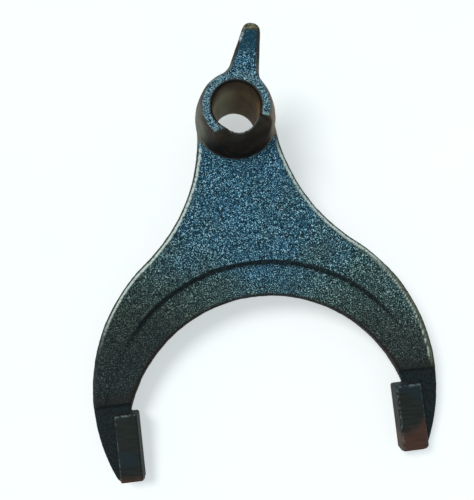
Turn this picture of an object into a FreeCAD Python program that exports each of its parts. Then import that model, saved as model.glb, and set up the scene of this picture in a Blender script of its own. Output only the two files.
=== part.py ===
import FreeCAD, Part
import math
import os

V = FreeCAD.Vector

# A gearbox shift fork: one iron casting, machined in its bore and on its pads.
# Millimetres. The bore's axis is Z, the boss stands on z = 0 and the arms reach towards -Y.

# Rail bore and the barrel-shaped boss round it
bore_diameter = 16.0
bore_chamfer = 0.4
boss_length = 37.0
boss_end_radius = 11.4
boss_belly_radius = 14.3
boss_edge_radius = 1.4
boss_foot_chamfer = 1.0

# Slope that cuts the boss's upper rim on the side of the fork, and the wall that ends it
relief_direction = -72.0
relief_offset = 5.1
relief_slope = 53.0
relief_wall_direction = -26.0

# Selector finger, level with the boss's upper face
finger_thickness = 10.0
finger_tip_x = 7.6
finger_tip_y = 27.6
finger_tip_radius = 3.3
finger_root_y = 11.0
finger_root_left = -2.2
finger_root_right = 9.0
finger_root_fillet = 5.0
finger_draft = 4.0
finger_bevel_length = 3.2
finger_bevel_drop = 1.3

# Thicknesses of the fork plate, centred on the mould's parting plane
parting_height = 17.5
draft_angle = 6.0
web_thickness = 9.0
arm_thickness = 6.8
arm_end_thickness = 4.0
web_edge_radius = 1.8
arm_edge_radius = 1.0
junction_radius = 3.0

# Fork plate in plan: hollow flanks run from a circle just inside the boss to the round arms
outer_radius = 60.0
outer_centre = 94.0
flank_radius = 61.5
neck_inset = 0.3
tip_length = 27.9
left_tip_trim = 1.2
tip_corner_radius = 3.0
gap_radius = 50.0
gap_offset = 19.0

# Falling arms: where the web's level ends, where the arms' own begins, and the thin ends
fall_start = 38.0
fall_length = 26.0
shoulder_length = 28.2
shoulder_run = 0.8

# Lower band along the gap, and the slope that bounds it
band_thickness = 6.0
band_radius = 58.0
band_offset = 15.0
band_slope = 45.0

# Machined pads that run in the sleeve's groove. The inner side is measured from the bore's middle
# plane, and the seat is how far the pad reaches over the arm, from where the gap is widest
pad_thickness = 7.0
left_pad_inner = 45.2
left_pad_seat = 2.9
left_pad_length = 24.3
right_pad_inner = 44.5
right_pad_seat = 3.5
right_pad_length = 22.9
pad_corner_radius = 0.8
pad_chamfer = 0.3

# Worked out from the sizes above
bore_radius = bore_diameter / 2
web_half = web_thickness / 2
arm_half = arm_thickness / 2
arm_end_half = arm_end_thickness / 2
band_half = band_thickness / 2
pad_half_height = pad_thickness / 2
draft = math.tan(math.radians(draft_angle))
neck_radius = boss_belly_radius - neck_inset
neck_reach = neck_radius + flank_radius
outer_reach = outer_radius + flank_radius
flank_y = (outer_reach ** 2 - neck_reach ** 2 - outer_centre ** 2) / (2 * outer_centre)
flank_x = math.sqrt(neck_reach ** 2 - flank_y ** 2)
tip_y = -outer_centre - tip_length
gap_y = -outer_centre - gap_offset
band_y = -outer_centre - band_offset
fall_y = -outer_centre + fall_start
level_y = fall_y - fall_length
shoulder_y = tip_y + shoulder_length
ends_y = shoulder_y - shoulder_run

# How far a cutting shape reaches past what it cuts, and how near counts as touching
overshoot = 5.0
touching = 0.02


def mirrored(shape):
    """The same shape on the other side of the parting plane."""
    return shape.mirror(V(0, 0, parting_height), V(0, 0, 1))


def middle_of(edge):
    return edge.valueAt((edge.FirstParameter + edge.LastParameter) / 2)


def arc_on_circle(centre, radius, start, end, z):
    """Arc at height z from start to end, both on the circle, the short way round."""
    towards = (start + end) * 0.5 - centre
    bulge = centre + towards * (radius / towards.Length)
    lift = V(0, 0, z)
    return Part.Arc(start + lift, bulge + lift, end + lift).toShape()


def straight(start, end, z):
    lift = V(0, 0, z)
    return Part.LineSegment(start + lift, end + lift).toShape()


def cone(radius, spread, height, foot, seam):
    """A cone frustum that widens by spread, its seam turned to an angle where nothing is cut."""
    frustum = Part.makeCone(radius, radius + spread, height)
    frustum.rotate(V(0, 0, 0), V(0, 0, 1), seam)
    frustum.translate(foot)
    return frustum


def web_blank():
    """The web between the neck and the arms, its hollow flanks cut by two cones."""
    outer_c = V(0, -outer_centre, 0)
    flanks = [V(flank_x, flank_y, 0), V(-flank_x, flank_y, 0)]
    necks = [centre * (neck_radius / neck_reach) for centre in flanks]
    blends = [outer_c + (centre - outer_c) * (outer_radius / outer_reach) for centre in flanks]
    corners = [V(0, 0, 0), necks[0], blends[0], outer_c, blends[1], necks[1], V(0, 0, 0)]
    web = Part.Face(Part.makePolygon(corners)).extrude(V(0, 0, web_half))
    right = cone(flank_radius, web_half * draft, web_half, flanks[0], 0)
    left = cone(flank_radius, web_half * draft, web_half, flanks[1], 180)
    return web.cut([right, left])


def beyond_tip(end_y, left, width):
    """What lies beyond one arm's tip, whose end face leans by the draft."""
    lean = web_half * draft
    far = -outer_centre - outer_radius - overshoot
    corners = [
        V(left, end_y, 0),
        V(left, end_y + lean, web_half),
        V(left, far, web_half),
        V(left, far, 0),
        V(left, end_y, 0),
    ]
    return Part.Face(Part.makePolygon(corners)).extrude(V(width, 0, 0))


def arms_blank():
    """The round of the arms with its drafted side, cut off and cornered at the two tips."""
    reach = outer_radius + overshoot
    disc = cone(outer_radius, -web_half * draft, web_half, V(0, -outer_centre, 0), 90)
    left_end = beyond_tip(tip_y + left_tip_trim, -reach, reach)
    right_end = beyond_tip(tip_y, -touching, reach + touching)
    arms = disc.cut([left_end, right_end])
    corners = [edge for edge in arms.Edges
               if edge.BoundBox.ZLength > touching and abs(middle_of(edge).x) > gap_radius / 2
               and middle_of(edge).y < tip_y + left_tip_trim + web_half]
    return arms.makeFillet(tip_corner_radius, corners)


def plate_blank():
    """The drafted half of the plate above the parting plane, still without the gap."""
    blank = arms_blank().fuse(web_blank())
    blank.translate(V(0, 0, parting_height))
    return blank.removeSplitter()


def gap_tool():
    """The round gap, wider away from the parting plane by the draft."""
    height = web_half + overshoot
    return cone(gap_radius, height * draft, height, V(0, gap_y, parting_height), -90)


def across(outline):
    """A side profile carried across the whole fork."""
    reach = outer_radius + overshoot
    profile = Part.Face(outline)
    profile.translate(V(-reach, 0, 0))
    return profile.extrude(V(2 * reach, 0, 0))


def fall_tool():
    """What is above the falling arms: an easy curve down from the web, then level to the tips."""
    web_top = parting_height + web_half
    arm_top = parting_height + arm_half
    run = fall_length / 2
    drop = (web_top - arm_top) / 2
    radius = (run ** 2 + drop ** 2) / (2 * drop)
    quarter = math.asin(run / radius) / 2
    quarter_run = radius * math.sin(quarter)
    quarter_drop = radius * (1 - math.cos(quarter))
    start = V(0, fall_y, web_top)
    middle = V(0, fall_y - run, web_top - drop)
    end = V(0, level_y, arm_top)
    far = tip_y - overshoot
    roof = web_top + overshoot
    corners = [end, V(0, far, arm_top), V(0, far, roof), V(0, fall_y, roof), start]
    hollow = V(0, fall_y - quarter_run, web_top - quarter_drop)
    swell = V(0, level_y + quarter_run, arm_top + quarter_drop)
    curve = [Part.Arc(start, hollow, middle).toShape(), Part.Arc(middle, swell, end).toShape()]
    return across(Part.Wire(curve + Part.makePolygon(corners).Edges))


def shoulder_tool():
    """What ends the arms' full thickness: a short slope, then upright down to the parting plane."""
    end_top = parting_height + arm_end_half
    roof = parting_height + web_half + overshoot
    lean = shoulder_run * (roof - end_top) / (arm_half - arm_end_half)
    far = tip_y - overshoot
    corners = [
        V(0, ends_y, parting_height),
        V(0, ends_y, end_top),
        V(0, ends_y + lean, roof),
        V(0, far, roof),
        V(0, far, parting_height),
        V(0, ends_y, parting_height),
    ]
    return across(Part.makePolygon(corners))


def thin_ends(blank):
    """The arms' thin ends beyond the shoulder, with a finer rounding of their own."""
    reach = outer_radius + overshoot
    slab = Part.makeBox(2 * reach, ends_y - tip_y, arm_end_half, V(-reach, tip_y, parting_height))
    ends = blank.common(slab).cut(gap_tool())
    top = parting_height + arm_end_half - touching
    rim = []
    for edge in ends.Edges:
        middle = middle_of(edge)
        from_gap = math.hypot(middle.x, middle.y - gap_y) - gap_radius
        level = min(vertex.Z for vertex in edge.Vertexes) > top
        if level and middle.y < ends_y - touching and from_gap > web_half * draft:
            rim.append(edge)
    return ends.makeFillet(arm_edge_radius, rim)


def band_tool():
    """What is above the lower band: a shallow dish with a sloping wall."""
    spread = 1 / math.tan(math.radians(band_slope))
    wall = web_half - band_half
    height = wall + overshoot
    floor = V(0, band_y, parting_height + band_half)
    return cone(band_radius - wall * spread / 2, height * spread, height, floor, -90)


def off_outline(where):
    """How far a point lies from the fork's outer outline, in plan."""
    from_outer = abs(math.hypot(where.x, where.y + outer_centre) - outer_radius)
    to_flank = math.hypot(abs(where.x) - flank_x, where.y - flank_y)
    return min(from_outer, abs(to_flank - flank_radius))


def rim_edges(shape):
    """Upper edges along the outer outline."""
    chosen = []
    for edge in shape.Edges:
        points = [vertex.Point for vertex in edge.Vertexes] + [middle_of(edge)]
        heights = [where.z for where in points]
        follows = max(off_outline(where) for where in points) < web_half * draft + touching
        raised = min(heights) > parting_height + arm_end_half / 2
        level = max(heights) - min(heights) < edge.Length / 2
        if follows and raised and level:
            chosen.append(edge)
    return chosen


def pad_half(left, right, length, blank):
    """The upper half of a machined pad, trimmed to the fork's outline at the tip."""
    corner = V(left, tip_y - overshoot, parting_height)
    block = Part.makeBox(right - left, length + overshoot, pad_half_height, corner)
    head = [edge for edge in block.Edges
            if edge.CenterOfMass.y > tip_y + length - touching and edge.BoundBox.ZLength > touching]
    block = block.makeFillet(pad_corner_radius, head)
    top = parting_height + pad_half_height - touching
    block = block.makeChamfer(pad_chamfer, [edge for edge in block.Edges if edge.CenterOfMass.z > top])
    return block.common(blank)


def plate_half():
    """The upper half of the plate, with its band, falling arms, rounded rim and pads."""
    blank = plate_blank()
    plate = blank.cut([fall_tool(), gap_tool()])
    plate = plate.makeFillet(web_edge_radius, rim_edges(plate))
    plate = plate.cut(shoulder_tool()).fuse(thin_ends(blank)).cut(band_tool())
    left_pad = pad_half(-gap_radius - left_pad_seat, -left_pad_inner, left_pad_length, blank)
    right_pad = pad_half(right_pad_inner, gap_radius + right_pad_seat, right_pad_length, blank)
    return plate.fuse([left_pad, right_pad])


def boss_radius_at(z):
    """The barrel's radius: an arc that stands upright at the belly and meets the end."""
    reach = boss_length - parting_height if z > parting_height else parting_height
    step = boss_belly_radius - boss_end_radius
    bulge = (step ** 2 + reach ** 2) / (2 * step)
    return boss_belly_radius - bulge + math.sqrt(bulge ** 2 - (z - parting_height) ** 2)


def turned_barrel(rim_z, end_corners, seam):
    """Half of the barrel: the belly's arc up to the rim, closed along the end and revolved.

    Its seam is turned by an angle, away from what meets the barrel.
    """
    def side(z):
        return V(0, boss_radius_at(z), z)

    belly = Part.Arc(side(parting_height), side((parting_height + rim_z) / 2), side(rim_z)).toShape()
    core = Part.makePolygon([side(rim_z)] + end_corners + [V(0, 0, parting_height), side(parting_height)])
    barrel = Part.Face(Part.Wire([belly] + core.Edges)).revolve(V(0, 0, 0), V(0, 0, 1), 360)
    barrel.rotate(V(0, 0, 0), V(0, 0, 1), seam)
    return barrel


def boss_head():
    """The barrel above the parting plane; its rim is rounded later, together with the finger's."""
    return turned_barrel(boss_length, [V(0, 0, boss_length)], 0)


def boss_foot():
    """The barrel below the parting plane, with its chamfered rim and its seam under the web."""
    rim_radius = boss_radius_at(boss_foot_chamfer) - boss_foot_chamfer
    return turned_barrel(boss_foot_chamfer, [V(0, rim_radius, 0), V(0, 0, 0)], 180)


def tangent_point(start, centre, radius, side):
    """Where a line from start touches a circle, on its left (-1) or right (1)."""
    away = start - centre
    angle = math.atan2(away.y, away.x) + side * math.acos(radius / away.Length)
    return centre + V(radius * math.cos(angle), radius * math.sin(angle), 0)


def root_fillet(foot, tip, side, radius, boss_radius):
    """The hollow arc between one side of the finger and the boss: centre and both ends."""
    along = (tip - foot).normalize()
    outward = V(-side * along.y, side * along.x, 0)
    base = foot + outward * radius
    half = base.dot(along)
    apart = boss_radius + radius
    reach = math.sqrt(half ** 2 - base.dot(base) + apart ** 2) - half
    centre = base + along * reach
    return centre, foot + along * reach, centre * (boss_radius / apart)


def finger_outline(inset, z):
    """The finger from above: upright right side, leaning left side, round tip, flared root."""
    tip_r = finger_tip_radius - inset
    root_r = finger_root_fillet + inset
    tip_c = V(finger_tip_x, finger_tip_y - finger_tip_radius, 0)
    left_foot = V(finger_root_left + inset, finger_root_y, 0)
    right_foot = V(finger_root_right - inset, finger_root_y, 0)
    left_tip = tangent_point(left_foot, tip_c, tip_r, -1)
    right_tip = tangent_point(right_foot, tip_c, tip_r, 1)
    boss_r = boss_radius_at(z)
    left_c, left_root, left_boss = root_fillet(left_foot, left_tip, 1, root_r, boss_r)
    right_c, right_root, right_boss = root_fillet(right_foot, right_tip, -1, root_r, boss_r)
    lift = V(0, 0, z)
    crown = tip_c + V(0, tip_r, 0)
    return Part.Wire([
        arc_on_circle(left_c, root_r, left_boss, left_root, z),
        straight(left_root, left_tip, z),
        Part.Arc(left_tip + lift, crown + lift, right_tip + lift).toShape(),
        straight(right_tip, right_root, z),
        arc_on_circle(right_c, root_r, right_root, right_boss, z),
        straight(right_boss, V(0, 0, 0), z),
        straight(V(0, 0, 0), left_boss, z),
    ])


def finger():
    """Two drafted halves, widest at mid thickness."""
    inset = finger_thickness / 2 * math.tan(math.radians(finger_draft))
    waist = finger_outline(0.0, boss_length - finger_thickness / 2)
    upper = Part.makeLoft([waist, finger_outline(inset, boss_length)], True, True)
    lower = Part.makeLoft([waist, finger_outline(inset, boss_length - finger_thickness)], True, True)
    return upper.fuse(lower)


def bevel_tool():
    """What the bevel takes off the finger's upper face at its tip."""
    root_middle = (finger_root_left + finger_root_right) / 2
    lean = math.degrees(math.atan2(finger_tip_x - root_middle, finger_tip_y - finger_root_y))
    start = -finger_bevel_length
    far = overshoot
    fall = finger_bevel_drop / finger_bevel_length
    roof = boss_length + overshoot
    corners = [
        V(0, start, boss_length),
        V(0, far, boss_length - (far - start) * fall),
        V(0, far, roof),
        V(0, start, roof),
        V(0, start, boss_length),
    ]
    profile = Part.Face(Part.makePolygon(corners))
    profile.translate(V(-2 * finger_tip_radius, 0, 0))
    wedge = profile.extrude(V(4 * finger_tip_radius, 0, 0))
    wedge.rotate(V(0, 0, 0), V(0, 0, 1), -lean)
    wedge.translate(V(finger_tip_x, finger_tip_y, 0))
    return wedge


def upper_edges(head):
    """The outline of the upper face of boss and finger."""
    return [edge for edge in head.Edges
            if all(abs(vertex.Point.z - boss_length) < touching for vertex in edge.Vertexes)]


def on_boss(where):
    return abs(math.hypot(where.x, where.y) - boss_radius_at(where.z)) < touching


def joined(barrel, plate):
    """Barrel and plate in one, with a hollow fillet where the barrel rises from the plate."""
    body = barrel.fuse(plate)
    chain = []
    for edge in body.Edges:
        points = [vertex.Point for vertex in edge.Vertexes] + [middle_of(edge)]
        rises = [abs(where.z - parting_height) for where in points]
        from_plate = touching < min(rises) and max(rises) < web_half + touching
        if edge.Length > touching and from_plate and all(on_boss(where) for where in points):
            chain.append(edge)
    return body.makeFillet(junction_radius, chain)


def relief_tool():
    """What the slope takes off the boss's upper rim, up to an upright wall on one side."""
    fall = math.tan(math.radians(relief_slope))
    far = boss_belly_radius + overshoot
    roof = boss_length + overshoot
    floor = parting_height + web_half + junction_radius
    corners = [
        V(relief_offset - overshoot / fall, -far, roof),
        V(far, -far, roof),
        V(far, -far, floor),
        V(relief_offset + (boss_length - floor) / fall, -far, floor),
        V(relief_offset - overshoot / fall, -far, roof),
    ]
    wedge = Part.Face(Part.makePolygon(corners)).extrude(V(0, 2 * far, 0))
    wedge.rotate(V(0, 0, 0), V(0, 0, 1), relief_direction)
    kept = Part.makeBox(2 * far, far, 2 * roof, V(-far, -far, 0))
    kept.rotate(V(0, 0, 0), V(0, 0, 1), relief_wall_direction)
    return wedge.common(kept)


def bore_tool():
    """The rail's bore, with a chamfer at each end."""
    mouth = bore_radius + bore_chamfer
    drill = Part.makeCylinder(bore_radius, boss_length)
    foot = Part.makeCone(mouth, bore_radius, bore_chamfer)
    head = Part.makeCone(bore_radius, mouth, bore_chamfer, V(0, 0, boss_length - bore_chamfer))
    return drill.fuse([foot, head])


def shift_fork():
    """Both halves of the casting, joined at the parting plane and then machined."""
    plate = plate_half()
    head = boss_head().fuse(finger())
    head = head.makeFillet(boss_edge_radius, upper_edges(head))
    head = head.cut(bevel_tool())
    casting = joined(head, plate).fuse(joined(boss_foot(), mirrored(plate)))
    return casting.cut(relief_tool()).cut(bore_tool())


os.makedirs("parts", exist_ok=True)
fork = shift_fork()
print("solids", len(fork.Solids), "valid", fork.isValid(), "faces", len(fork.Faces), "volume", fork.Volume)
fork.exportStep("parts/shift_fork.step")
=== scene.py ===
import math

import bmesh
import bpy
import numpy as np
from mathutils import Matrix


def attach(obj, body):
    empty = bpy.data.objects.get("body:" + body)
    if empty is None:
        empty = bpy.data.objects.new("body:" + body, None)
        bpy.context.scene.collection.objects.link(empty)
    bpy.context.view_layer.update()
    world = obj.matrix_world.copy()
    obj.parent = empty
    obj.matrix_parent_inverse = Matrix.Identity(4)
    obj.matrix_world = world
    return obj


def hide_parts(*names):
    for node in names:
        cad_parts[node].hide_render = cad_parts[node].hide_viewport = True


# A sand-cast shift fork with its machined bore and pads, dressed in one piece.
# Lengths are in millimetres and become metres with MM. The frame is the casting's own:
# the bore's axis is Z, and the arms reach towards -Y.

MM = 0.001

# Boss, bore and finger
PARTING_HEIGHT = 17.5
BORE_RADIUS = 8.0
BOSS_LENGTH = 37.0
BARREL_REACH = 16.3
COLLAR_END_Y = 9.0
FINGER_START_Y = 12.0
FINGER_UNDERSIDE = (24.5, 26.5)
FINGER_TIP_Y = 27.6

# Arms, with the thin ends beyond their shoulders, and the pads as left, right and head
ENDS_Y = -94.5
TIP_Y = -121.9
THIN_HALF = 2.0
ARM_WALL = 49.3
LEFT_PAD = (-52.9, -45.2, -97.6)
RIGHT_PAD = (44.5, 53.5, -99.0)

# The arcs of the fork's outline, its gap and its band, as radius and centre
GAP_RADIUS = 50.0
GAP_Y = -113.0
BAND_RADIUS = 58.0
BAND_Y = -109.0
OUTER_RADIUS = 60.0
OUTER_Y = -94.0
FLANK_RADIUS = 61.5
FLANK_PLACE = (75.49, 1.2)
FLANK_END_Y = -47.0

# The fork rests on the foot of its boss and on the tips of its arms, as (y, z)
FOOT_CONTACT = (-10.7, 0.0)
TIP_CONTACT = (-121.53, 14.0)
FLOOR_REACH = 1600.0
FLOOR_GAP = 0.02

# Surface net, its smoothing, and the unevenness that the sand leaves. MERGE is in metres, and
# AROUND counts the steps over the net that a point's surroundings reach.
GRID = 0.52
SMOOTHING = 4
ROUNDING = 0.5
RECOVERY = 0.42
MERGE = 1e-6
AROUND = 6
SWELL_SIZE = 7.0
SWELL_DEPTH = 0.09
GRIT_SIZE = 1.7
GRIT_DEPTH = 0.07

# Sizes of the finish's patterns, from single grains to broad clouds, the grain's height and its gloss
FINE_GRAIN = 0.34
COARSE_GRAIN = 1.15
RUST_SPOT = 4.2
PATCH = 7.5
CLOUD = 13.0
BROAD_CLOUD = 24.0
MILL_MARK = 0.8
GRAIN_HEIGHT = 0.30
GLOSS = 0.11
WORKTOP_CLOUD = 60.0

# Camera: its place, the direction it looks away from, what is up in its picture, and its lens
CAMERA_PLACE = (-10.853, -55.79, 215.486)
CAMERA_BACK = (-0.03165, -0.05058, 0.99822)
CAMERA_UP = (0.1127, 0.99217, 0.05385)
SENSOR_WIDTH = 36.0
LENS = 40.32

# Light: one soft lamp and an even room
LAMP_TOWARDS = (-0.42, 0.42, 0.80)
LAMP_STRENGTH = 2.6
LAMP_SPREAD = 24.0
LAMP_COLOUR = (1.0, 0.985, 0.96)
ROOM_COLOUR = (0.74, 0.92, 1.0, 1.0)
ROOM_STRENGTH = 0.5
WHITE = (1.0, 1.0, 1.0, 1.0)
FLOOR_GLOW = 0.55


def colour(red, green, blue):
    """A colour given as it looks on a screen, 0 to 255, as the linear values that the shader takes."""
    shares = np.array([red, green, blue]) / 255
    linear = np.where(shares <= 0.04045, shares / 12.92, ((shares + 0.055) / 1.055) ** 2.4)
    return (*linear.tolist(), 1.0)


class Wire:
    """A socket of a shader on which an expression adds Math nodes."""

    def __init__(self, finish, socket):
        self.finish = finish
        self.socket = socket

    def maths(self, operation, other):
        return self.finish.node("ShaderNodeMath", {"operation": operation}, {0: self, 1: other})

    def __add__(self, other):
        return self.maths("ADD", other)

    def __radd__(self, other):
        return self.maths("ADD", other)

    def __sub__(self, other):
        return self.maths("SUBTRACT", other)

    def __rsub__(self, other):
        return (self * -1.0).maths("ADD", other)

    def __mul__(self, other):
        return self.maths("MULTIPLY", other)

    def __rmul__(self, other):
        return self.maths("MULTIPLY", other)

    def __truediv__(self, other):
        return self.maths("DIVIDE", other)

    def __abs__(self):
        return self.finish.node("ShaderNodeMath", {"operation": "ABSOLUTE"}, {0: self})

    def more(self, other):
        """The larger of the two."""
        return self.maths("MAXIMUM", other)

    def step(self, low, high):
        """0 below low, 1 above high, smooth between; the other way round where low is the larger."""
        settings = {"interpolation_type": "SMOOTHSTEP"}
        if low < high:
            return self.finish.node("ShaderNodeMapRange", settings, {0: self, 1: low, 2: high})
        return self.finish.node("ShaderNodeMapRange", settings, {0: self, 1: high, 2: low, 3: 1.0, 4: 0.0})


class Finish:
    """A material or world being made. Every node comes from node(), and numbers are Wire expressions."""

    def __init__(self, made):
        self.made = made
        made.use_nodes = True
        self.tree = made.node_tree
        self.tree.nodes.clear()

    def node(self, kind, settings=None, values=None, output=0):
        made = self.tree.nodes.new(kind)
        for name, value in (settings or {}).items():
            setattr(made, name, value)
        for name, value in (values or {}).items():
            if isinstance(value, Wire):
                self.tree.links.new(value.socket, made.inputs[name])
            else:
                made.inputs[name].default_value = value
        return Wire(self, made.outputs[output]) if len(made.outputs) else None

    def places(self):
        """The place on the piece, in metres."""
        return self.node("ShaderNodeTexCoord", output="Object")

    def distance(self, where, axis):
        """How far a place lies along an axis, in millimetres."""
        return self.node("ShaderNodeSeparateXYZ", None, {0: where}, axis) / MM

    def share(self, name):
        """A share from 0 to 1 that was worked out for each point of the mesh."""
        return self.node("ShaderNodeAttribute", {"attribute_name": name}, output="Fac")

    def noise(self, where, size, detail, rough):
        """Clouds whose lumps are about size millimetres across, from 0 to 1."""
        values = {"Vector": where, "Scale": 1 / (size * MM), "Detail": detail, "Roughness": rough}
        return self.node("ShaderNodeTexNoise", None, values)

    def blend(self, share, first, second):
        """One colour turning into another."""
        return self.node("ShaderNodeMix", {"data_type": "RGBA"}, {0: share, 6: first, 7: second}, 2)

    def shows(self):
        """1 for rays that show the background as it is: seen directly, off gloss or through glass."""
        camera = self.node("ShaderNodeLightPath", output="Is Camera Ray")
        glossy = self.node("ShaderNodeLightPath", output="Is Glossy Ray")
        through = self.node("ShaderNodeLightPath", output="Is Transmission Ray")
        return camera.more(glossy).more(through)

    def mixed(self, share, first, second, ending):
        """Ends the tree with one shader or background turning into another."""
        both = self.node("ShaderNodeMixShader", None, {0: share, 1: first, 2: second})
        self.node(ending, None, {"Surface": both})
        return self.made


class IronFinish(Finish):
    """The casting's one material: what the sand, the machining and the wear leave on it, with painted shade,
    highlights and reflections laid over it.
    """

    def __init__(self):
        super().__init__(bpy.data.materials.new("cast_iron"))
        self.where = self.places()
        self.along = self.distance(self.where, "Y")
        self.aside = self.distance(self.where, "X")
        self.height = self.distance(self.where, "Z")
        self.coarse = self.noise(self.where, COARSE_GRAIN, 2.0, 0.6)
        self.patches = self.noise(self.where, PATCH, 3.0, 0.6)
        self.clouds = self.noise(self.where, CLOUD, 2.0, 0.5)
        self.broad = self.noise(self.where, BROAD_CLOUD, 2.0, 0.5)
        self.grain = self.noise(self.where, FINE_GRAIN, 0.0, 0.5) * 0.75 + self.coarse * 0.25
        self.speckle = self.grain.step(0.40, 0.60)
        self.glint = self.grain.step(0.57, 0.74)

    def uneven(self, place, width):
        """A place pushed either way by up to half the width with the patches, so that its steps wander."""
        return place + width * (self.patches - 0.5)

    def skin(self):
        """Sand-cast skin in three tones of grain: blue on the web, greener aside, grey-black on the arms;
        its palest grains are painted glints, and painted shade darkens the lower left and the arms'
        shoulders.
        """
        arm = (self.along + 0.2 * self.aside + 26.0 * (self.broad - 0.5)).step(-46.0, -82.0)
        low_arm = (self.along + 0.1 * self.aside + 16.0 * (self.broad - 0.5)).step(-62.0, -88.0)
        sideways = abs(self.aside)
        green = (self.clouds * 0.6 + 0.3 * arm + 0.0075 * sideways - 0.004 * self.along).step(0.40, 0.92)
        dark = self.blend(green, colour(0, 14, 22), colour(2, 10, 12))
        middle = self.blend(green, colour(40, 98, 126), colour(54, 88, 90))
        middle = self.blend(arm * 0.8, middle, colour(56, 68, 56))
        middle = self.blend(low_arm * 0.8, middle, colour(40, 48, 50))
        pale = self.blend(green * 0.6, colour(168, 208, 216), colour(168, 190, 176))
        pale = self.blend(arm, pale, colour(124, 136, 118))
        pale = self.blend(low_arm * 0.7, pale, colour(84, 92, 92))
        # dark and middle grain, with painted glints on the highest grains
        skin = self.blend(self.glint, self.blend(self.speckle, dark, middle), pale)
        skin = self.blend(self.patches.step(0.45, 0.80) * 0.28, skin, colour(10, 30, 38))
        # painted shade: the skin darker towards the lower left
        left_shade = self.uneven(self.aside * -1.0 - self.along * 0.5, 20.0).step(40.0, 75.0)
        skin = self.blend(left_shade * 0.35, skin, colour(12, 24, 26))
        # painted shade on the step down at the arms' shoulders
        shoulder_shade = self.uneven(self.along, 6.0).step(ENDS_Y + 7.0, ENDS_Y + 0.5)
        skin = self.blend(shoulder_shade * 0.7, skin, colour(22, 22, 20))
        skin = self.blend(self.share("collar") * self.speckle * 0.35, skin, colour(150, 180, 182))
        rubbed = self.uneven(self.along, 3.0).step(FINGER_TIP_Y - 11.0, FINGER_TIP_Y - 9.5)
        skin = self.blend(rubbed * 0.85, skin, colour(6, 48, 62))
        thin_end = self.blend(self.grain.step(0.40, 0.62), colour(0, 4, 6), colour(20, 34, 36))
        return self.blend(self.share("ends"), skin, thin_end)

    def boss_side(self):
        """The barrel's smoother side: olive, lighter and beige on the right with rusty tone and a painted
        reflection, near black with painted shade on the front towards the arms.
        """
        front = self.share("front")
        side = self.blend(self.patches.step(0.35, 0.65), colour(46, 39, 28), colour(84, 86, 74))
        # the right side lighter and beige: rusty tone with a painted reflection
        rust_and_reflection = self.aside.step(6.0, 13.0) * self.along.step(14.0, 8.0)
        beige = self.blend(self.patches, colour(104, 88, 66), colour(160, 140, 112))
        side = self.blend(rust_and_reflection * 0.75, side, beige)
        side = self.blend(self.along.step(12.0, 16.0) * 0.75, side, colour(34, 28, 20))
        # painted shade high on the front that faces the arms
        side = self.blend(front * self.height.step(29.0, 34.0) * 0.7, side, colour(38, 30, 20))
        rust = self.noise(self.where, RUST_SPOT, 3.0, 0.65).step(0.46, 0.70)
        side = self.blend(rust * 0.4, side, colour(84, 62, 54))
        # painted shade, near black, on the front towards the arms, mottled with the rust spots
        shade_tone = self.blend(rust, colour(6, 3, 2), colour(32, 20, 14))
        front_shade = front * self.height.step(36.0, 29.5) * self.aside.step(-15.5, -11.0)
        return self.blend(front_shade * 0.93, side, shade_tone)

    def milled_pad(self):
        """Charcoal pads with faint mill marks across, stained reddish at the tips, with painted highlights
        along their edges.
        """
        across = self.node("ShaderNodeMapping", None, {"Vector": self.where, "Scale": (0.12, 1.0, 0.12)})
        marks = self.noise(across, MILL_MARK, 2.0, 0.6)
        low_end = self.uneven(self.along - 0.05 * self.aside, 9.0).step(TIP_Y + 7.0, TIP_Y + 3.5)
        right_end = self.uneven(self.along - 0.9 * (self.aside - 50.0), 7.0).step(-112.0, -115.5)
        stained = low_end.more(right_end * self.aside.step(0.0, 1.0))
        stain = self.blend(marks, colour(46, 28, 24), colour(78, 54, 44))
        pad = self.blend(marks.step(0.2, 0.8), colour(14, 19, 17), colour(28, 34, 31))
        pad = self.blend(self.clouds.step(0.50, 0.62) * 0.7, pad, colour(20, 34, 40))
        pad = self.blend(stained * 0.85, pad, stain)
        # painted highlight along the pads' upper and outer edges
        pad_highlight = self.share("pad_edge_highlight") * self.coarse.step(0.44, 0.62)
        return self.blend(pad_highlight * 0.75, pad, colour(92, 104, 104))

    def drilled_bore(self):
        """Bare brown iron, paler low on the left with painted bounce light, darkened with painted shade
        towards the upper mouth.
        """
        wall = self.blend(self.patches.step(0.3, 0.7), colour(122, 84, 42), colour(150, 130, 88))
        # painted bounce light: the wall paler low on the left
        bounce_light_low_left = self.uneven(self.aside, 4.0).step(3.0, -4.0) * self.height.step(36.0, 22.0)
        wall = self.blend(bounce_light_low_left * 0.9, wall, colour(226, 228, 206))
        # painted shade darkening the wall towards the upper mouth
        upper_shade = self.uneven(self.height, -10.0).step(24.0, 35.0)
        return self.blend(upper_shade * 0.85, wall, colour(40, 25, 12))

    def edges(self, cast):
        """Painted shade in the hollows, undersides, step, gap's edge and bore's mouth, then painted bounce
        light and highlights on the rims, flanks and the finger's rubbed edge.
        """
        # painted shade, near black, in the bore's mouth
        cast = self.blend(self.share("mouth") * 0.92, cast, colour(8, 8, 7))
        # painted shade in the hollows
        cast = self.blend(self.share("hollow_shade") * 0.6, cast, colour(6, 8, 8))
        # painted shade on the band's sloping step
        cast = self.blend(self.share("step") * 0.85, cast, colour(6, 12, 14))
        # painted shade, dark reddish brown, along the gap's edge
        cast = self.blend(self.share("inner_edge") * 0.85, cast, colour(22, 14, 10))
        # painted highlight on the convex rims that face up
        rim_highlight = self.share("rim_highlight") * self.coarse.step(0.32, 0.62)
        cast = self.blend(rim_highlight * 0.5, cast, colour(166, 184, 180))
        # painted shade along the plate's outline
        cast = self.blend(self.share("under") * 0.9, cast, colour(34, 40, 34))
        # painted bounce light, tan, on the right side of the web's outline
        tan = self.blend(self.speckle, colour(50, 54, 42), colour(104, 108, 88))
        cast = self.blend(self.share("tan") * 0.8, cast, tan)
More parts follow.
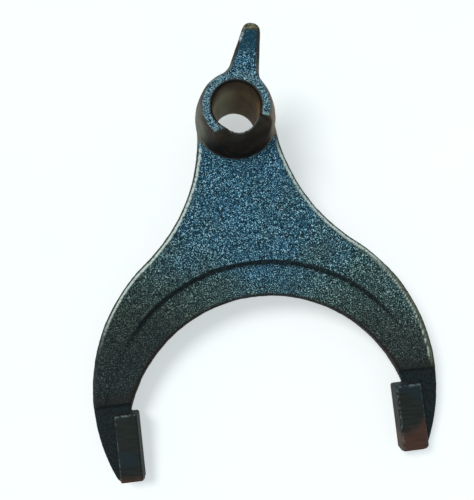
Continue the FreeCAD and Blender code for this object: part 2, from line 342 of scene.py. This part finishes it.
        # painted highlight and reflection along the flanks' rounded rims
        cast = self.blend(self.share("flank_highlight") * self.coarse.step(0.30, 0.48), cast, colour(178, 190, 182))
        # the finger's rubbed bare edge, pale with a painted highlight
        wear_and_sheen = self.share("wear_and_sheen") * self.coarse.step(0.40, 0.56)
        return self.blend(wear_and_sheen * 0.8, cast, colour(176, 186, 194))

    def whole(self):
        """All of them laid over each other, with the grain raised where nothing is machined."""
        barrel = self.share("barrel")
        pads = self.share("pads")
        bore = self.share("bore")
        bare_tip = self.along.step(FINGER_TIP_Y - 3.1, FINGER_TIP_Y - 2.3)
        bare_iron = self.blend(self.coarse.step(0.40, 0.62), colour(52, 50, 34), colour(112, 110, 84))
        cast = self.blend(barrel, self.skin(), self.boss_side())
        cast = self.blend(bare_tip, cast, bare_iron)
        cast = self.blend(pads, cast, self.milled_pad())
        cast = self.blend(bore, cast, self.drilled_bore())
        cast = self.edges(cast)
        plain = bore.more(pads).more(self.share("ends") * 0.6)
        rough = 0.60 - 0.10 * plain - 0.08 * barrel + 0.12 * self.patches - 0.1 * self.glint
        raised = self.grain * (1 - 0.85 * plain) * (1 - 0.75 * barrel)
        heights = {"Strength": 1.0, "Distance": GRAIN_HEIGHT * MM, "Height": raised}
        bump = self.node("ShaderNodeBump", None, heights)
        values = {"Base Color": cast, "Roughness": rough, "Specular IOR Level": GLOSS, "Normal": bump}
        shader = self.node("ShaderNodeBsdfPrincipled", None, values)
        self.node("ShaderNodeOutputMaterial", None, {"Surface": shader})
        return self.made


def read_points(mesh):
    """The mesh's points in millimetres, one row each."""
    flat = np.empty(len(mesh.vertices) * 3)
    mesh.vertices.foreach_get("co", flat)
    return flat.reshape(-1, 3) / MM


def write_points(mesh, points):
    mesh.vertices.foreach_set("co", (points * MM).ravel())
    mesh.update()


def read_edges(mesh):
    flat = np.empty(len(mesh.edges) * 2, dtype=np.int64)
    mesh.edges.foreach_get("vertices", flat)
    return flat.reshape(-1, 2)


def read_normals(mesh):
    flat = np.empty(len(mesh.vertices) * 3)
    mesh.vertices.foreach_get("normal", flat)
    return flat.reshape(-1, 3)


def neighbour_mean(values, edges):
    """At each point, the mean of what its neighbours along the edges have."""
    count = len(values)
    both = np.concatenate([edges, edges[:, ::-1]])
    degree = np.maximum(np.bincount(both[:, 0], minlength=count), 1)
    columns = np.atleast_2d(values.T)
    sums = [np.bincount(both[:, 0], weights=column[both[:, 1]], minlength=count) for column in columns]
    mean = np.stack(sums, axis=1) / degree[:, None]
    return mean if values.ndim > 1 else mean[:, 0]


def ramp(values, low, high):
    """Smooth step: 3t^2 - 2t^3, with t from 0 at low to 1 at high; low may be the larger."""
    share = np.clip((values - low) / (high - low), 0, 1)
    return share * share * (3 - 2 * share)


def within(values, start, end, soft=0.12):
    """1 from start to end, 0 outside, smooth over soft."""
    return ramp(values, start - soft, start + soft) * ramp(values, end + soft, end - soft)


def lump_noise(points, size, seed):
    """Smooth noise from -1 to 1: random values on a cubic lattice, blended with 3t^2 - 2t^3."""
    table = np.random.default_rng(seed).uniform(-1, 1, (64, 64, 64))
    scaled = points / size
    cell = np.floor(scaled).astype(int)
    share = ramp(scaled - cell, 0.0, 1.0)
    total = np.zeros(len(points))
    for corner in np.ndindex(2, 2, 2):
        index = (cell + corner) % 64
        weight = np.prod(np.where(corner, share, 1 - share), axis=1)
        total += weight * table[index[:, 0], index[:, 1], index[:, 2]]
    return total


def merged_copy(node, name):
    """The node's loose triangles as a piece of its own, with shared corners joined."""
    mesh = node.data.copy()
    work = bmesh.new()
    work.from_mesh(mesh)
    bmesh.ops.remove_doubles(work, verts=work.verts, dist=MERGE)
    work.to_mesh(mesh)
    work.free()
    piece = bpy.data.objects.new(name, mesh)
    bpy.context.scene.collection.objects.link(piece)
    return piece


def bake_modifiers(piece):
    """Puts the result of the piece's modifiers in its mesh."""
    depsgraph = bpy.context.evaluated_depsgraph_get()
    done = bpy.data.meshes.new_from_object(piece.evaluated_get(depsgraph))
    piece.modifiers.clear()
    piece.data = done


def even_net(piece, form):
    """A close, even net of quads over the piece, laid back onto its exact form."""
    remesh = piece.modifiers.new("even_net", "REMESH")
    remesh.mode = "VOXEL"
    remesh.voxel_size = GRID * MM
    wrap = piece.modifiers.new("onto_form", "SHRINKWRAP")
    wrap.wrap_method = "NEAREST_SURFACEPOINT"
    wrap.target = form
    bake_modifiers(piece)


def inset(x, y):
    """How far inside the fork's outer outline a point lies, in plan."""
    from_flank = np.hypot(np.abs(x) - FLANK_PLACE[0], y - FLANK_PLACE[1]) - FLANK_RADIUS
    from_outer = OUTER_RADIUS - np.hypot(x, y - OUTER_Y)
    return np.where(y > FLANK_END_Y, from_flank, from_outer)


def boss_zones(points, normals):
    """Bore, mouth, collar, the barrel's side with its front that takes painted shade, and the finger's edge
    with its wear and painted sheen.

    Each is a product of ramps over the distance from the bore's axis, the height and the slope.
    """
    x, y, z = points.T
    up = normals[:, 2]
    radius = np.hypot(x, y)
    from_top = BOSS_LENGTH - z
    bore = ramp(radius, BORE_RADIUS + 0.55, BORE_RADIUS + 0.25) * ramp(np.abs(up), 0.9, 0.6)
    mouth = ramp(radius, BORE_RADIUS + 0.75, BORE_RADIUS + 0.45) * ramp(from_top, 2.6, 0.9)
    on_collar = ramp(y, FINGER_START_Y, COLLAR_END_Y)
    level = on_collar * ramp(from_top, 1.7, 0.8) + (1 - on_collar) * ramp(from_top, 0.42, 0.12)
    flat = on_collar * ramp(up, 0.70, 0.92) + (1 - on_collar) * ramp(up, 0.93, 0.995)
    top = level * flat * (1 - mouth)
    high = ramp(z, *FINGER_UNDERSIDE)
    on_finger = high * ramp(y, COLLAR_END_Y - 3.0, COLLAR_END_Y - 1.0)
    boss = np.maximum(ramp(radius, BARREL_REACH + 0.9, BARREL_REACH - 0.9), on_finger)
    upright = np.maximum(ramp(np.abs(up), 0.80, 0.60), high)
    barrel = boss * upright * (1 - top) * (1 - bore)
    towards_arms = ramp(-normals[:, 1], 0.34, 0.66)
    # the barrel's side facing the arms, which takes painted shade
    front = barrel * towards_arms * ramp(z, PARTING_HEIGHT, PARTING_HEIGHT + 3.0)
    # the finger's rubbed left edge, which also takes a painted highlight
    left_edge = ramp(-normals[:, 0], 0.1, 0.3) * ramp(up, 0.55, 0.72) * ramp(up, 0.99, 0.96)
    wear_and_sheen = left_edge * on_finger * within(y, FINGER_TIP_Y - 6.5, FINGER_TIP_Y - 3.6, 0.8)
    shares = {"bore": bore, "mouth": mouth, "collar": top * on_collar, "barrel": barrel}
    return boss, {**shares, "front": front, "wear_and_sheen": wear_and_sheen}


def plate_zones(points, normals, boss):
    """The lines along the plate's outline, which take painted shade, highlights and bounce light, the band's
    sloping step and the inner edge, which take painted shade, and the thin ends.

    Depth is the distance inside the outline; the lines are bands of it that fade along the arms.
    """
    x, y, z = points.T
    right = x > 0
    from_gap = np.hypot(x, y - GAP_Y) - GAP_RADIUS
    from_band = np.hypot(x, y - BAND_Y) - BAND_RADIUS
    depth = inset(x, y)
    margin = (z > PARTING_HEIGHT + 0.6) * (1 - boss) * ramp(y, 2.0, -2.0) * ramp(y, ENDS_Y, ENDS_Y + 3.0)
    # the plate's outline, which takes painted shade
    under = margin * np.maximum(ramp(depth, 1.15, 0.85), 0.6 * within(depth, 2.0, 2.4))
    on_flank = np.where(x < 0, ramp(y, -78.0, -58.0), ramp(y, -62.0, -50.0))
    # the flanks' rounded rims, which take painted highlight
    flank_highlight = margin * on_flank * within(depth, 1.1, 1.85)
    flank_highlight = np.maximum(flank_highlight, margin * right * (1 - on_flank) * within(depth, 2.1, 2.4))
    # the right side of the outline, which takes painted bounce light
    tan = margin * right * ramp(y, -40.0, -52.0) * within(depth, 0.9, 2.1)
    sloping = ramp(normals[:, 2], 0.985, 0.90)
    # the band's sloping step, which takes painted shade
    step = sloping * ramp(np.abs(from_band), 1.5, 1.0) * ramp(from_gap, 2.0, 3.0)
    step = step * (z > PARTING_HEIGHT) * (1 - boss)
    step = step * np.where(x < 0, ramp(y, -84.0, -62.0), ramp(y, -88.0, -76.0))
    # the gap's edge, which takes painted shade
    inner_edge = ramp(from_gap, 1.5, 0.8) * (1 - ramp(y, ENDS_Y + 1.0, ENDS_Y - 1.0))
    ends = ramp(y, ENDS_Y + 1.0, ENDS_Y - 0.3)
    shares = {"under": under, "flank_highlight": flank_highlight, "tan": tan, "step": step}
    return {**shares, "inner_edge": inner_edge, "ends": ends}


def pad_zones(points, normals):
    """The two milled pads, where they stand free of the arms' ends, and the painted highlights along their
    edges.
    """
    x, y, z = points.T
    stands_free = (np.abs(z - PARTING_HEIGHT) > THIN_HALF + 0.15) | (np.abs(x) < ARM_WALL)
    pads = np.zeros(len(x))
    pad_edge_highlight = np.zeros(len(x))
    for left, right, head in (LEFT_PAD, RIGHT_PAD):
        inside = (x > left - 0.3) & (x < right + 0.3) & (y < head + 0.2) & stands_free
        pads = np.maximum(pads, inside)
        near = np.maximum(ramp(y, head - 0.8, head - 0.45), 0.85 * ramp(x, left + 0.62, left + 0.36))
        near = np.maximum(near, 0.5 * ramp(x, right - 0.6, right - 0.36) * (x > 0))
        pad_edge_highlight = np.maximum(pad_edge_highlight, inside * near * ramp(normals[:, 2], 0.35, 0.6))
    return {"pads": pads, "pad_edge_highlight": pad_edge_highlight}


def zones(points, normals):
    """Where the surface is bored, smooth, thin or milled, where it has wear, and where painted shade and
    highlights go, as shares from 0 to 1 for each point.
    """
    boss, shares = boss_zones(points, normals)
    return {**shares, **plate_zones(points, normals, boss), **pad_zones(points, normals)}


def roughened(mesh):
    """Rounds the net a little, then raises it by the sand's swell and grit, less where machined."""
    points = read_points(mesh)
    edges = read_edges(mesh)
    shares = zones(points, read_normals(mesh))
    machined = np.maximum(np.maximum(shares["bore"], shares["pads"]), 0.6 * shares["ends"])
    keep = machined[:, None]
    for _ in range(SMOOTHING):
        points += (neighbour_mean(points, edges) - points) * ROUNDING * (1 - 0.75 * keep)
        points += (points - neighbour_mean(points, edges)) * RECOVERY * (1 - 0.75 * keep)
    write_points(mesh, points)
    normals = read_normals(mesh)
    swell = lump_noise(points, SWELL_SIZE, 11) + 0.6 * lump_noise(points, SWELL_SIZE / 2.3, 12)
    grit = lump_noise(points, GRIT_SIZE, 13) + 0.7 * lump_noise(points, GRIT_SIZE / 1.9, 14)
    smooth_side = 1 - 0.6 * shares["barrel"]
    lift = (SWELL_DEPTH * swell + GRIT_DEPTH * grit * smooth_side) * (1 - 0.92 * machined)
    write_points(mesh, points + normals * (lift - SWELL_DEPTH * 0.5)[:, None] * (1 - 0.9 * keep))
    return shares


def convexity(points, normals, edges):
    """How far each point stands out of its surroundings, along its normal, in millimetres."""
    around = points
    for _ in range(AROUND):
        around = neighbour_mean(around, edges)
    return np.einsum("ij,ij->i", points - around, normals)


def edge_shares(mesh, shares):
    """The plate's rims for painted highlights and the casting's hollows for painted shade, from how far each
    point stands out.
    """
    points = read_points(mesh)
    normals = read_normals(mesh)
    edges = read_edges(mesh)
    proud = neighbour_mean(convexity(points, normals, edges), edges)
    upper = ramp(normals[:, 2], 0.15, 0.45)
    names = ("barrel", "pads", "ends", "inner_edge", "flank_highlight", "under", "mouth")
    near_end = ramp(points[:, 1], ENDS_Y + 4.0, ENDS_Y + 2.0)
    dull = np.max([shares[name] for name in names] + [near_end], axis=0)
    return {"rim_highlight": ramp(proud, 0.12, 0.26) * upper * (1 - dull), "hollow_shade": ramp(proud, -0.05, -0.22)}


def add_shares(mesh, shares):
    for name, values in shares.items():
        layer = mesh.attributes.new(name, "FLOAT", "POINT")
        layer.data.foreach_set("value", values.astype(np.float32))


def dress_casting(node):
    """The whole casting as one finely meshed piece in the solid's place."""
    form = merged_copy(node, "exact_form")
    piece = merged_copy(node, "fork_casting")
    even_net(piece, form)
    bpy.data.objects.remove(form)
    mesh = piece.data
    shares = roughened(mesh)
    add_shares(mesh, {**shares, **edge_shares(mesh, shares)})
    mesh.shade_smooth()
    mesh.materials.clear()
    mesh.materials.append(IronFinish().whole())
    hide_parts("shift_fork")
    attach(piece, "root")


def pale_floor():
    """A white worktop that reads as the white background, and keeps a light shadow."""
    finish = Finish(bpy.data.materials.new("pale_worktop"))
    clouds = finish.noise(finish.places(), WORKTOP_CLOUD, 3.0, 0.5)
    tone = finish.blend(clouds, colour(244, 250, 250), colour(252, 253, 253))
    matt = finish.node("ShaderNodeBsdfDiffuse", None, {"Color": tone})
    glow = finish.node("ShaderNodeEmission", None, {"Color": tone, "Strength": 1.0})
    return finish.mixed(finish.shows() * FLOOR_GLOW, matt, glow, "ShaderNodeOutputMaterial")


def make_floor():
    """A plane under the boss's foot and the arms' tips, on which the fork rests."""
    slope = (FOOT_CONTACT[1] - TIP_CONTACT[1]) / (FOOT_CONTACT[0] - TIP_CONTACT[0])
    corners = np.array([(-1, -1), (1, -1), (1, 1), (-1, 1)]) * FLOOR_REACH
    heights = FOOT_CONTACT[1] + slope * (corners[:, 1] - FOOT_CONTACT[0]) - FLOOR_GAP
    points = np.column_stack([corners, heights]) * MM
    mesh = bpy.data.meshes.new("worktop")
    mesh.from_pydata(points.tolist(), [], [(0, 1, 2, 3)])
    mesh.materials.append(pale_floor())
    floor = bpy.data.objects.new("worktop", mesh)
    bpy.context.scene.collection.objects.link(floor)


def facing(back, up):
    """The turn of a camera or lamp that looks away from back, with up upwards in its picture."""
    back = np.array(back) / np.linalg.norm(back)
    side = np.cross(up, back)
    side /= np.linalg.norm(side)
    turn = np.stack([side, np.cross(back, side), back], axis=1)
    return Matrix(turn.tolist()).to_4x4()


def make_camera():
    """Nearly overhead, a hand's height above the fork, as the picture was taken."""
    data = bpy.data.cameras.new("camera")
    data.sensor_width = SENSOR_WIDTH
    data.lens = LENS
    data.clip_start = 0.01
    data.clip_end = 20.0
    camera = bpy.data.objects.new("camera", data)
    bpy.context.scene.collection.objects.link(camera)
    place = Matrix.Translation([value * MM for value in CAMERA_PLACE])
    camera.matrix_world = place @ facing(CAMERA_BACK, CAMERA_UP)
    bpy.context.scene.camera = camera


def make_light():
    """One soft lamp from the upper left and an even pale room, white where it is seen."""
    lamp = bpy.data.lights.new("window", "SUN")
    lamp.energy = LAMP_STRENGTH
    lamp.angle = math.radians(LAMP_SPREAD)
    lamp.color = LAMP_COLOUR
    window = bpy.data.objects.new("window", lamp)
    bpy.context.scene.collection.objects.link(window)
    window.matrix_world = facing(LAMP_TOWARDS, (0.0, 1.0, 0.0))
    room = Finish(bpy.data.worlds.new("pale_room"))
    sky = room.node("ShaderNodeBackground", None, {"Color": ROOM_COLOUR, "Strength": ROOM_STRENGTH})
    white = room.node("ShaderNodeBackground", None, {"Color": WHITE, "Strength": 1.0})
    bpy.context.scene.world = room.mixed(room.shows(), sky, white, "ShaderNodeOutputWorld")


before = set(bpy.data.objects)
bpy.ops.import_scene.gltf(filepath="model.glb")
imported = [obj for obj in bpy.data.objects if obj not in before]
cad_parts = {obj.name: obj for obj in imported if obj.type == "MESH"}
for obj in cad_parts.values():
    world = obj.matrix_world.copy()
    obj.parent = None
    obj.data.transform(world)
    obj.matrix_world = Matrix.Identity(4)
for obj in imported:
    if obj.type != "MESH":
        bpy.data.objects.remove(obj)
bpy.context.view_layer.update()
bpy.context.scene.view_settings.view_transform = "Standard"
make_camera()
make_light()
make_floor()
dress_casting(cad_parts["shift_fork"])
